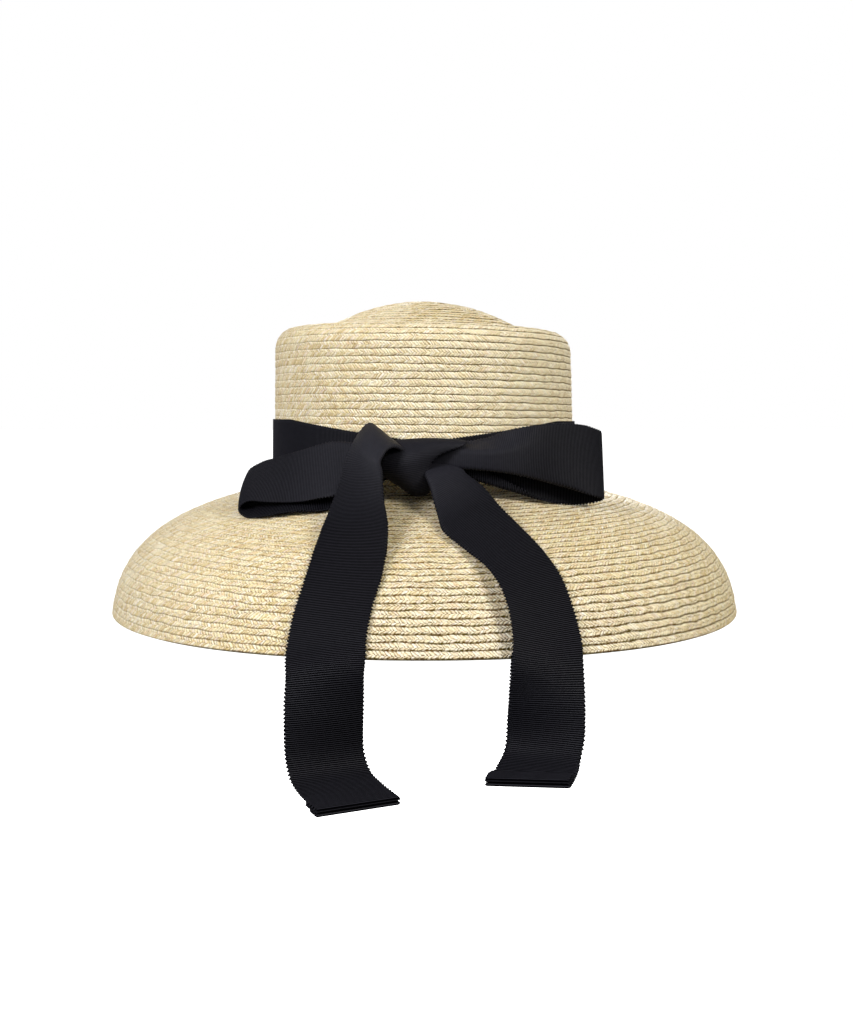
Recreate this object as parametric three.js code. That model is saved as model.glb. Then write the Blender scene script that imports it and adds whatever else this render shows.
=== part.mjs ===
// A straw cloche hat: a crown and a wide bell brim of sewn braid, with a ribbon tied in a bow at the front.
// Millimetres, +Z up. The front of the hat faces -Y and +X is on the viewer's right.
// The origin is the centre of the head opening, level with the line where the crown meets the brim.

import * as THREE from 'three';

// Head opening
const headHalfWidth = 91.2; // outside of the crown at its foot, half of its width
const ovalExtra = 6; // the head oval reaches this much further to the front and to the back

// Straw
const strawWall = 2; // sewn rows of braid
const seatGap = 0.3; // clearance where one piece sits on another

// Crown
const wallTopHalfWidth = 89.2; // half width where the side meets the shoulder
const rimHeight = 92.7; // flat ring on top of the side
const shoulderRadius = 12;
const ringWidth = 5; // flat ring between the shoulder and the foot of the dome
const domeRadius = 112; // the tip is part of a ball
const domeTop = 111.4;
const domeHalfAngle = THREE.MathUtils.degToRad(29);
const crownLean = 0.016; // the top is lower on the right by this share of the distance
const crownSway = 1; // the top stands this far to the left of the foot

// Brim: its slope below level, in degrees, at shares of the way from the crown to the edge
const brimLength = 129;
const brimSlopes = [
  { share: 0, side: 10, front: 20 },
  { share: 0.25, side: 17, front: 21 },
  { share: 0.45, side: 26, front: 25 },
  { share: 0.6, side: 38, front: 35 },
  { share: 0.75, side: 55, front: 47 },
  { share: 0.9, side: 76, front: 52 },
  { share: 1, side: 86, front: 52 },
];

// Ribbon
const ribbonWidth = 38;
const ribbonThick = 1;
const bandGap = 0.4; // between the band and the crown
const bandFoot = 1.2;
const bandDip = 11.5; // how far the band's upper edge is drawn down at the knot
const bandLift = 1.5; // how far its lower edge is drawn up there
const gatherAngle = THREE.MathUtils.degToRad(24); // how far round from the knot the band is drawn in
const hemLength = 9; // turned end of a tail
const hemThick = 3;

// Fineness of the faceted walls
const turnSteps = 64;
const brimSteps = 13;
const outsideArcSteps = 3;
const insideArcSteps = 2;
const bandRows = 2;
const ribbonColumns = 4;
const stepsPerRow = 3;

// Ribbon tables, one row for each section. x, y and z are the middle of the section. The width runs from one
// selvedge to the other at an angle of slant seen from the front, and it leans turn degrees out towards
// the viewer. Spread is the share of the full width that the gathers leave. All angles are in degrees.
const loopRight = [
  { x: 18.5, y: -110.6, z: 19.8, slant: 90, turn: 0, spread: 0.26 },
  { x: 34, y: -112.5, z: 20.8, slant: 90, turn: 0, spread: 0.5 },
  { x: 48, y: -110.5, z: 20.8, slant: 90, turn: 0, spread: 0.66 },
  { x: 62, y: -105.5, z: 20.2, slant: 90, turn: 0, spread: 0.8 },
  { x: 80, y: -96, z: 17.8, slant: 91, turn: -3, spread: 0.93 },
  { x: 92.5, y: -88.5, z: 15.4, slant: 92, turn: -5, spread: 0.99 },
  { x: 97, y: -82.5, z: 14.2, slant: 92, turn: -7, spread: 1 },
  { x: 93, y: -78.6, z: 12.8, slant: 92, turn: -9, spread: 1 },
  { x: 82, y: -82.5, z: 12.4, slant: 91, turn: -9, spread: 0.98 },
  { x: 62, y: -92.5, z: 14.5, slant: 90, turn: -6, spread: 0.86 },
  { x: 42, y: -101, z: 16, slant: 90, turn: -2, spread: 0.6 },
  { x: 19, y: -103.8, z: 17.6, slant: 90, turn: 0, spread: 0.32 },
];

const loopLeft = [
  { x: -14, y: -112.2, z: 15, slant: 90, turn: -10, spread: 0.3 },
  { x: -30, y: -107.5, z: 15.6, slant: 90, turn: -30, spread: 0.55 },
  { x: -49, y: -102.5, z: 13.4, slant: 90, turn: -41, spread: 0.95 },
  { x: -66.5, y: -96, z: 9.9, slant: 92, turn: -46, spread: 1 },
  { x: -84, y: -85.5, z: 5.6, slant: 90, turn: -48, spread: 1 },
  { x: -96.5, y: -75.5, z: 2.2, slant: 86, turn: -52, spread: 1 },
  { x: -101, y: -72.5, z: -0.8, slant: 82, turn: -56, spread: 1 },
  { x: -97.5, y: -80, z: -4.1, slant: 80, turn: -64, spread: 1 },
  { x: -86, y: -88.5, z: -4.3, slant: 82, turn: -68, spread: 1 },
  { x: -68, y: -94.5, z: 0.6, slant: 86, turn: -62, spread: 1 },
  { x: -48, y: -99, z: 6.4, slant: 90, turn: -42, spread: 0.88 },
  { x: -29, y: -103, z: 11, slant: 90, turn: -26, spread: 0.55 },
  { x: -15, y: -103.6, z: 13, slant: 90, turn: -8, spread: 0.3 },
];

const tailLeft = [
  { x: -16.6, y: -110, z: 25, slant: -25, turn: 68, spread: 0.42 },
  { x: -24, y: -115.5, z: 30.2, slant: -59, turn: 53, spread: 0.69 },
  { x: -30, y: -119, z: 22.5, slant: -25, turn: 54, spread: 0.73 },
  { x: -32.5, y: -123, z: 12, slant: 3, turn: 47, spread: 0.77 },
  { x: -33.6, y: -133, z: -0.9, slant: 3, turn: 36, spread: 0.81 },
  { x: -34.6, y: -149.5, z: -14.5, slant: 2, turn: 22, spread: 0.89 },
  { x: -38.6, y: -171, z: -35, slant: 4, turn: 10, spread: 0.96 },
  { x: -42.6, y: -183, z: -48.6, slant: 6, turn: 9, spread: 0.98 },
  { x: -45, y: -194.2, z: -62.9, slant: 8, turn: 9, spread: 0.99 },
  { x: -45.4, y: -204, z: -75, slant: 6, turn: 5, spread: 0.98 },
  { x: -44.9, y: -206, z: -92, slant: 3, turn: -17, spread: 0.98 },
  { x: -44.6, y: -206, z: -111, slant: 0, turn: -24, spread: 0.98 },
  { x: -42, y: -210, z: -120.2, slant: 0, turn: -24, spread: 1 },
  { x: -36.2, y: -218.5, z: -124.4, slant: 2, turn: -22, spread: 1 },
  { x: -28.6, y: -229, z: -127, slant: 2, turn: -21, spread: 1 },
];

const tailRight = [
  { x: 11.4, y: -112.8, z: 14, slant: 14, turn: -30, spread: 0.32 },
  { x: 14, y: -118.6, z: 8.6, slant: 18, turn: -34, spread: 0.46 },
  { x: 18.5, y: -124.5, z: 0.2, slant: 26, turn: -34, spread: 0.75 },
  { x: 25, y: -136.5, z: -10, slant: 22, turn: -33, spread: 0.93 },
  { x: 35.4, y: -147, z: -18.2, slant: 18, turn: -32, spread: 0.92 },
  { x: 45.6, y: -161.5, z: -27.2, slant: 6, turn: -30, spread: 0.88 },
  { x: 51.6, y: -173, z: -38.2, slant: -4, turn: -22, spread: 0.91 },
  { x: 55, y: -182.4, z: -50.6, slant: -6, turn: -16, spread: 0.92 },
  { x: 56.6, y: -191, z: -62.2, slant: -8, turn: -14, spread: 0.93 },
  { x: 56, y: -200.5, z: -73, slant: -5, turn: -6, spread: 0.94 },
  { x: 55, y: -203.5, z: -87, slant: 0, turn: 14, spread: 0.95 },
  { x: 54.2, y: -204, z: -102.5, slant: 2, turn: 25, spread: 0.97 },
  { x: 52.6, y: -208.5, z: -111.2, slant: 0, turn: 25, spread: 0.99 },
  { x: 49.8, y: -217, z: -115.8, slant: 0, turn: 23, spread: 1 },
  { x: 45.9, y: -229, z: -117.9, slant: 0, turn: 21, spread: 1 },
];

// The knot runs from the band's upper edge over the front to its lower edge, and bulge is how far its
// middle stands out beyond its two selvedges.
const knotWrap = [
  { x: 3.8, y: -99.1, z: 27.6, slant: 0, turn: 0, spread: 0.9, bulge: 0.4 },
  { x: 3.5, y: -107, z: 28.4, slant: 0, turn: 0, spread: 0.92, bulge: 1.4 },
  { x: 1.5, y: -112.8, z: 24.5, slant: 0, turn: 0, spread: 0.84, bulge: 4 },
  { x: -2, y: -113.4, z: 18, slant: 0, turn: 0, spread: 0.64, bulge: 5 },
  { x: -4, y: -112.8, z: 11, slant: 0, turn: 0, spread: 0.44, bulge: 4.5 },
  { x: -3.8, y: -110, z: 4.8, slant: 0, turn: 0, spread: 0.3, bulge: 3 },
  { x: -3.4, y: -104.5, z: 2.6, slant: 0, turn: 0, spread: 0.24, bulge: 1.5 },
  { x: -3.2, y: -99.1, z: 3.6, slant: 0, turn: 0, spread: 0.22, bulge: 0.4 },
];

const straw = new THREE.MeshStandardMaterial({ color: 0xdcc596, roughness: 0.55, metalness: 0 });
const ribbonCloth = new THREE.MeshStandardMaterial({ color: 0x15151a, roughness: 0.6, metalness: 0 });

// Turns the triangles of a closed surface outwards.
function faceOut(geometry) {
  const index = geometry.index.array;
  const corner = [new THREE.Vector3(), new THREE.Vector3(), new THREE.Vector3()];
  let volume = 0;
  for (let i = 0; i < index.length; i += 3) {
    corner.forEach((point, k) => point.fromBufferAttribute(geometry.attributes.position, index[i + k]));
    volume += corner[0].dot(corner[1].clone().cross(corner[2]));
  }
  if (volume < 0) {
    geometry.setIndex(Array.from(index).reverse());
  }
  return geometry;
}

// Closed surface through loops of points that all have the same count. The loops either go all the way
// round, or end in flat ends that close each loop between its first half and its second half.
function skin(loops, goesRound) {
  const count = loops[0].length;
  const index = [];
  const addQuad = (a, b, c, d) => index.push(a, b, c, a, c, d);
  const spans = goesRound ? loops.length : loops.length - 1;
  for (let i = 0; i < spans; i += 1) {
    const here = i * count;
    const next = ((i + 1) % loops.length) * count;
    for (let j = 0; j < count; j += 1) {
      const after = (j + 1) % count;
      addQuad(here + j, here + after, next + after, next + j);
    }
  }
  if (!goesRound) {
    const last = (loops.length - 1) * count;
    for (let j = 0; j < count / 2 - 1; j += 1) {
      const across = count - 1 - j;
      addQuad(across, across - 1, j + 1, j);
      addQuad(last + j, last + j + 1, last + across - 1, last + across);
    }
  }
  const geometry = new THREE.BufferGeometry().setFromPoints(loops.flat());
  geometry.setIndex(index);
  return faceOut(geometry);
}

// Value of one column of a table at t, from 0 at the first row to 1 at the last, on a smooth curve.
function along(rows, column, t) {
  const track = rows.map((row, i) => new THREE.Vector2(i, row[column] ?? 0));
  return new THREE.SplineCurve(track).getPoint(t).y;
}

// Point on the head oval grown outwards: turn 0 is the front and a quarter turn is the viewer's right.
function ovalPoint(halfWidth, height, turn) {
  return new THREE.Vector3(halfWidth * Math.sin(turn), -(halfWidth + ovalExtra) * Math.cos(turn), height);
}

// Moves a point of the upright crown to where the crown's slight sway and lean put it.
function lean(point) {
  const rise = (point.z - seatGap) / rimHeight;
  point.z -= crownLean * point.x * rise;
  point.x -= crownSway * rise;
  return point;
}

// Half of the crown's outline from the tip to the foot, moved in from the outside by inset.
function crownOutline(inset, arcSteps) {
  const domeCentre = domeTop - domeRadius;
  const ball = domeRadius - inset;
  const domeFoot = new THREE.Vector2(ball * Math.sin(domeHalfAngle), domeCentre + ball * Math.cos(domeHalfAngle));
  const shoulderCentre = wallTopHalfWidth - shoulderRadius;
  const ringHeight = rimHeight - inset;
  const outline = new THREE.Path();
  outline.absarc(0, domeCentre, ball, Math.PI / 2, Math.PI / 2 - domeHalfAngle, true);
  const valley = domeFoot.x + (domeFoot.y - ringHeight) / Math.tan(domeHalfAngle);
  outline.quadraticCurveTo(valley, ringHeight, shoulderCentre - ringWidth, ringHeight);
  outline.lineTo(shoulderCentre, ringHeight);
  outline.absarc(shoulderCentre, rimHeight - shoulderRadius, shoulderRadius - inset, Math.PI / 2, 0, true);
  outline.lineTo(headHalfWidth - inset, seatGap);
  return outline.getPoints(arcSteps);
}

function makeCrown() {
  const outside = crownOutline(0, outsideArcSteps);
  const inside = crownOutline(strawWall, insideArcSteps);
  const geometry = new THREE.LatheGeometry([...outside, ...inside.reverse()], turnSteps);
  geometry.rotateX(Math.PI / 2);
  const places = geometry.attributes.position;
  const stretch = (headHalfWidth + ovalExtra) / headHalfWidth;
  for (let i = 0; i < places.count; i += 1) {
    const point = new THREE.Vector3().fromBufferAttribute(places, i);
    point.y *= stretch;
    places.setXYZ(i, ...lean(point));
  }
  return faceOut(geometry);
}

// Slope of the brim below level at a share of the way out, blended between the side and the front.
function brimSlope(share, turn) {
  const upper = Math.max(1, brimSlopes.findIndex((row) => row.share >= share));
  const [near, far] = [brimSlopes[upper - 1], brimSlopes[upper]];
  const part = (share - near.share) / (far.share - near.share);
  const side = THREE.MathUtils.lerp(near.side, far.side, part);
  const front = THREE.MathUtils.lerp(near.front, far.front, part);
  return THREE.MathUtils.degToRad(THREE.MathUtils.lerp(side, front, Math.cos(turn) ** 2));
}

// One loop round the brim's wall: its seat under the crown, the upper side out to the edge, and back below.
function brimLoop(turn) {
  const stride = brimLength / brimSteps;
  const upper = [ovalPoint(headHalfWidth - strawWall, 0, turn)];
  const lower = [ovalPoint(headHalfWidth - strawWall, -strawWall, turn)];
  let reach = 0;
  let height = 0;
  for (let i = 0; i <= brimSteps; i += 1) {
    const slope = brimSlope(i / brimSteps, turn);
    const halfWidth = headHalfWidth + reach;
    upper.push(ovalPoint(halfWidth, height, turn));
    lower.push(ovalPoint(halfWidth - strawWall * Math.sin(slope), height - strawWall * Math.cos(slope), turn));
    const halfway = brimSlope(Math.min(1, (i + 0.5) / brimSteps), turn);
    reach += stride * Math.cos(halfway);
    height -= stride * Math.sin(halfway);
  }
  return [...upper, ...lower.reverse()];
}

function turns() {
  return Array.from({ length: turnSteps }, (unused, i) => (i / turnSteps) * 2 * Math.PI);
}

function makeBrim() {
  return skin(turns().map(brimLoop), true);
}

// One loop round the band's thin section, from its lower edge up the outside and down the inside.
function bandLoop(turn) {
  const fromFront = Math.atan2(Math.sin(turn), Math.cos(turn));
  const gather = Math.exp(-((fromFront / gatherAngle) ** 2));
  const lowEdge = bandFoot + bandLift * gather;
  const highEdge = bandFoot + ribbonWidth - bandDip * gather;
  const outside = [];
  const inside = [];
  for (let i = 0; i <= bandRows; i += 1) {
    const height = THREE.MathUtils.lerp(lowEdge, highEdge, i / bandRows);
    const wall = THREE.MathUtils.lerp(headHalfWidth, wallTopHalfWidth, height / (rimHeight - shoulderRadius));
    inside.push(lean(ovalPoint(wall + bandGap, height, turn)));
    outside.push(lean(ovalPoint(wall + bandGap + ribbonThick, height, turn)));
  }
  return [...outside, ...inside.reverse()];
}

function makeBand() {
  return skin(turns().map(bandLoop), true);
}

// One flat section of a ribbon at t along its table, with the given thickness.
function ribbonLoop(rows, t, thick) {
  const placeAt = (u) => new THREE.Vector3(along(rows, 'x', u), along(rows, 'y', u), along(rows, 'z', u));
  const nudge = 0.002;
  const heading = placeAt(Math.min(1, t + nudge)).sub(placeAt(Math.max(0, t - nudge)));
  const slant = THREE.MathUtils.degToRad(along(rows, 'slant', t));
  const turn = THREE.MathUtils.degToRad(along(rows, 'turn', t));
  const across = new THREE.Vector3(Math.cos(slant), 0, Math.sin(slant)).multiplyScalar(Math.cos(turn));
  across.y = -Math.sin(turn);
  const face = heading.clone().cross(across).normalize();
  const halfWidth = (ribbonWidth / 2) * along(rows, 'spread', t);
  const bulge = along(rows, 'bulge', t);
  const above = [];
  const below = [];
  for (let j = 0; j <= ribbonColumns; j += 1) {
    const side = -1 + (2 * j) / ribbonColumns;
    const point = placeAt(t).addScaledVector(across, side * halfWidth);
    point.addScaledVector(face, bulge * (1 - side * side));
    above.push(point.clone().addScaledVector(face, thick / 2));
    below.push(point.clone().addScaledVector(face, -thick / 2));
  }
  return [...above, ...below.reverse()];
}

// A strip of ribbon along its table. A hemmed strip ends in a turned hem, thicker by a clean step.
function makeRibbon(rows, hemmed) {
  const steps = (rows.length - 1) * stepsPerRow;
  const [beforeLast, last] = rows.slice(-2).map((row) => new THREE.Vector3(row.x, row.y, row.z));
  const hemShare = hemmed ? hemLength / beforeLast.distanceTo(last) / (rows.length - 1) : 0;
  const loops = [];
  for (let i = 0; i <= steps; i += 1) {
    const t = i / steps;
    if (t <= 1 - hemShare) {
      loops.push(ribbonLoop(rows, t, ribbonThick));
    }
  }
  if (hemmed) {
    const stepShare = 0.02 * hemShare;
    loops.push(ribbonLoop(rows, 1 - hemShare - stepShare, ribbonThick));
    loops.push(ribbonLoop(rows, 1 - hemShare, hemThick));
    loops.push(ribbonLoop(rows, 1, hemThick));
  }
  return skin(loops, false);
}

const hat = new THREE.Group();

function addPiece(name, geometry, material) {
  const piece = new THREE.Mesh(geometry, material);
  piece.name = name;
  hat.add(piece);
}

addPiece('crown', makeCrown(), straw);
addPiece('brim', makeBrim(), straw);
addPiece('band', makeBand(), ribbonCloth);
addPiece('knot', makeRibbon(knotWrap, false), ribbonCloth);
addPiece('bow_loop_left', makeRibbon(loopLeft, false), ribbonCloth);
addPiece('bow_loop_right', makeRibbon(loopRight, false), ribbonCloth);
addPiece('tail_left', makeRibbon(tailLeft, true), ribbonCloth);
addPiece('tail_right', makeRibbon(tailRight, true), ribbonCloth);

export default hat;
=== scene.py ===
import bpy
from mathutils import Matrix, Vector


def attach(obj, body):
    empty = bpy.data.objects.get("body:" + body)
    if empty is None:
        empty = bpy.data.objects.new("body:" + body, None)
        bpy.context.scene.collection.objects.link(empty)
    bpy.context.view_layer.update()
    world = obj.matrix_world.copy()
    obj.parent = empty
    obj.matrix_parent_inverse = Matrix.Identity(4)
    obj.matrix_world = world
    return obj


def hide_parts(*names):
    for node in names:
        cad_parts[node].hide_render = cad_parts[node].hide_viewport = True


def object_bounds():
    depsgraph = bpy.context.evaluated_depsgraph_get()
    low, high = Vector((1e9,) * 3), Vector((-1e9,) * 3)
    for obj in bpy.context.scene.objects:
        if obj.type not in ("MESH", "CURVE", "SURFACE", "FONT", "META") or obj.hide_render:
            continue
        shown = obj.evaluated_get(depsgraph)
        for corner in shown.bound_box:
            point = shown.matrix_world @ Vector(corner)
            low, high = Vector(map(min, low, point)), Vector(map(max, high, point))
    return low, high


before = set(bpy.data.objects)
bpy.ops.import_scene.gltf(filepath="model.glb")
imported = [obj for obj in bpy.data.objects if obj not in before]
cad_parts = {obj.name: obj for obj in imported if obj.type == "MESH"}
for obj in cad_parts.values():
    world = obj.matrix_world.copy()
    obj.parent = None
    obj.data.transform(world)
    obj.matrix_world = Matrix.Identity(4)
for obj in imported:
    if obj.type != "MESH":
        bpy.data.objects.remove(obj)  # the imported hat, all on one body
cadBox = [list(corner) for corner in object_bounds()]

import math

import bpy
import numpy as np

mm = 0.001
fullTurn = 2 * math.pi
print("frame loaded:", len(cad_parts), "solids")


def setStops(ramp, stops):
    while len(ramp.elements) < len(stops):
        ramp.elements.new(0.5)
    for element, (position, colour) in zip(ramp.elements, stops):
        element.position = position
        element.color = (*colour, 1)


# Shader maths: a socket that can be added, scaled and compared like a number
class Wire:
    def __init__(self, tree, socket=None):
        self.tree = tree
        self.socket = socket

    # Any node: its type, its settings, then the values or wires of its sockets
    def node(self, kind, settings=None, sockets=None, out=0):
        made = self.tree.nodes.new("ShaderNode" + kind)
        for key, value in (settings or {}).items():
            if key == "stops":
                setStops(made.color_ramp, value)
            else:
                setattr(made, key, value)
        for key, value in (sockets or {}).items():
            if isinstance(value, Wire):
                self.tree.links.new(value.socket, made.inputs[key])
            else:
                made.inputs[key].default_value = value
        return Wire(self.tree, made.outputs[out] if len(made.outputs) else None)

    # Another output of the same node
    def other(self, out):
        return Wire(self.tree, self.socket.node.outputs[out])

    def maths(self, operation, *others):
        return self.node("Math", {"operation": operation}, dict(enumerate((self,) + others)))

    def __add__(self, other):
        return self.maths("ADD", other)

    __radd__ = __add__

    def __sub__(self, other):
        return self.maths("SUBTRACT", other)

    def __rsub__(self, other):
        return self.node("Math", {"operation": "SUBTRACT"}, {0: other, 1: self})

    def __mul__(self, other):
        return self.maths("MULTIPLY", other)

    __rmul__ = __mul__

    def __truediv__(self, other):
        return self.maths("DIVIDE", other)

    def __gt__(self, other):
        return self.maths("GREATER_THAN", other)

    def __abs__(self):
        return self.maths("ABSOLUTE")

    def floor(self):
        return self.maths("FLOOR")

    # 0 at low, 1 at high, smooth between them
    def ease(self, low, high):
        limits = {"Value": self, "From Min": low, "From Max": high}
        return self.node("MapRange", {"interpolation_type": "SMOOTHSTEP"}, limits)

    # Soft noise along a length, its blotches about as long as size
    def blotches(self, size, detail=1.0):
        sockets = {"W": self / size, "Scale": 1.0, "Detail": detail}
        return self.node("TexNoise", {"noise_dimensions": "1D"}, sockets)


def mixColours(share, first, second):
    def paint(colour):
        return colour if isinstance(colour, Wire) else (*colour, 1)
    sockets = {0: share, 6: paint(first), 7: paint(second)}
    return share.node("Mix", {"data_type": "RGBA"}, sockets, out=2)


def newMaterial(name):
    material = bpy.data.materials.new(name)
    material.use_nodes = True
    material.node_tree.nodes.clear()
    return material, Wire(material.node_tree)


# Wheat straw: plaited strands that lean to the middle of each row from both sides. The braid attribute
# holds mm along the row, the share across it and how wide its grooves gape, which also sets how much
# painted shade they get. Unless noted, a pair says where an effect starts and where it is full.
strawLook = {
    "slant": 3.6,  # mm along the row that a strand would shift over the row's whole width
    "meet": 0.54,  # share of the row's width where the two leans meet
    "meetDrift": 0.9,  # how far that place wanders
    "meetGape": (0.8, 0.4),  # gape at which they meet there, and how far they shift as it widens
    "wobble": 2.0,  # mm
    "wobbleFine": 0.5,  # share of the finer wobble
    "drifts": {  # where each pattern along the row begins, and how long its blotches are (mm)
        "meet": (210, 38.0),
        "wobble": (0, 3.0),
        "wobbleFine": (57, 1.3),
        "stretch": (500, 70.0),
        "seam": (260, 8.0),
        "edge": (40, 6.0),
        "grooveShade": (620, 13.0),
        "broken": (80, 2.4),
    },
    "tones": [
        (0.0, (0.50, 0.35, 0.14)),
        (0.3, (0.66, 0.51, 0.24)),
        (0.55, (0.76, 0.63, 0.34)),
        (0.8, (0.84, 0.74, 0.46)),
        (1.0, (0.92, 0.86, 0.66)),
    ],
    "toneShares": (0.72, 0.38, 0.5, -0.3),  # by strand, by patch, by stretch of braid, and a start
    "patchSize": 4.5,
    "patchStep": 2.2,  # mm between the patches of the two leans
    "tints": [  # colour, where its patches begin, their size, the noise they start at, share
        ((0.84, 0.58, 0.36), 90, 5.5, 0.5, 0.43),  # peach
        ((0.68, 0.60, 0.25), 170, 6.0, 0.5, 0.43),  # olive
        ((0.85, 0.90, 0.78), 310, 5.0, 0.52, 0.4),  # mint
        ((0.93, 0.84, 0.86), 730, 5.5, 0.52, 0.4),  # lilac
    ],
    "tintFull": 0.7,
    # painted highlight on each row's upper half; the same colour also gives the pale fibres
    "gleam": (0.95, 0.92, 0.80),
    "gleamAcross": (0.36, 0.14),
    "gleamShare": 0.4,
    "shade": (0.34, 0.21, 0.06),
    # colour of the painted shade in the pits where the two leans meet
    "pitShade": (0.20, 0.14, 0.075),
    # painted shade in the grooves between rows, reddish and olive
    "redShade": (0.115, 0.042, 0.004),
    "oliveShade": (0.082, 0.058, 0.004),
    "grain": 0.6,  # mm
    "grainRows": 7,  # fibres across a row
    "grainPale": (0.5, 0.72),
    "grainDark": (0.48, 0.28),
    "darkLeast": 0.3,
    "wornFull": 1.1,  # gape at which straw would be bleached most
    "wornFade": 0.15,  # gape over which that fades again
    "seamBow": (0.5, 1.0),
    "seamBlotch": (0.35, 0.65),
    "seamLeast": 0.4,
    "fleckChance": (0.8, 0.9),  # few strands are flecked
    "fleckBow": (0.1, 0.9),
    "fleckShare": 0.4,
    "dotShift": 0.04,
    "dotAcross": (0.2, 0.05),
    "dotBow": (0.3, 0.9),
    "dotChance": (0.1, 0.6),
    "lowAcross": (0.7, 1.0),  # shade towards the row's lower edge
    "lowShare": 0.2,
    "edgeSpread": 1.7,
    "edgeDetail": 2.0,
    "groove": (1.0, 0.2),  # shares of the dark edge, the painted shade of the groove
    "grooveShadeBlotch": (0.4, 0.65),
    "brokenBlotch": (0.3, 0.6),
    "brokenLeast": 0.5,
    "relief": 0.45 * mm,
    "strandHeight": 0.8,  # shares of the relief: round strands, dots sunk into them, some strands higher
    "dotDepth": 0.6,
    "strandStep": 0.3,
    "roughness": (0.6, 0.2, 0.3),  # dark strands, less of it on pale ones, more in grooves
    "specular": 0.2,
}

crownStraw = {
    "strandPitch": 1.85,  # mm
    "patch": 0.55,  # scale of the coloured patches
    "edge": 0.12,  # share of a row taken by its dark edge, the painted shade of the groove
    "tooth": 0.1,  # how far the gaps between strands widen that edge
    "seam": 0.5,  # shade between strands
    "dots": 0.5,  # dark dots of painted shade in the pits where the leans meet
    "redShade": 0.3,  # share of reddish painted shade in the grooves, the rest is olive
    "pale": 0.4,  # pale and dark fibres
    "dark": 0.3,
    "worn": (0.92, 0.86, 0.70),  # bleached colour, between two gapes of the grooves
    "wornShare": 0.32,
    "wornFrom": 0.45,
    "wornTo": 0.95,
}

brimStraw = {
    "strandPitch": 2.0,
    "patch": 0.62,
    "edge": 0.19,
    "tooth": 0.14,
    "seam": 0.55,
    "dots": 1.0,
    "redShade": 0.7,
    "pale": 0.5,
    "dark": 0.5,
    "worn": (0.80, 0.75, 0.64),
    "wornShare": 0.35,
    "wornFrom": 0.8,
    "wornTo": 1.2,
}


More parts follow.
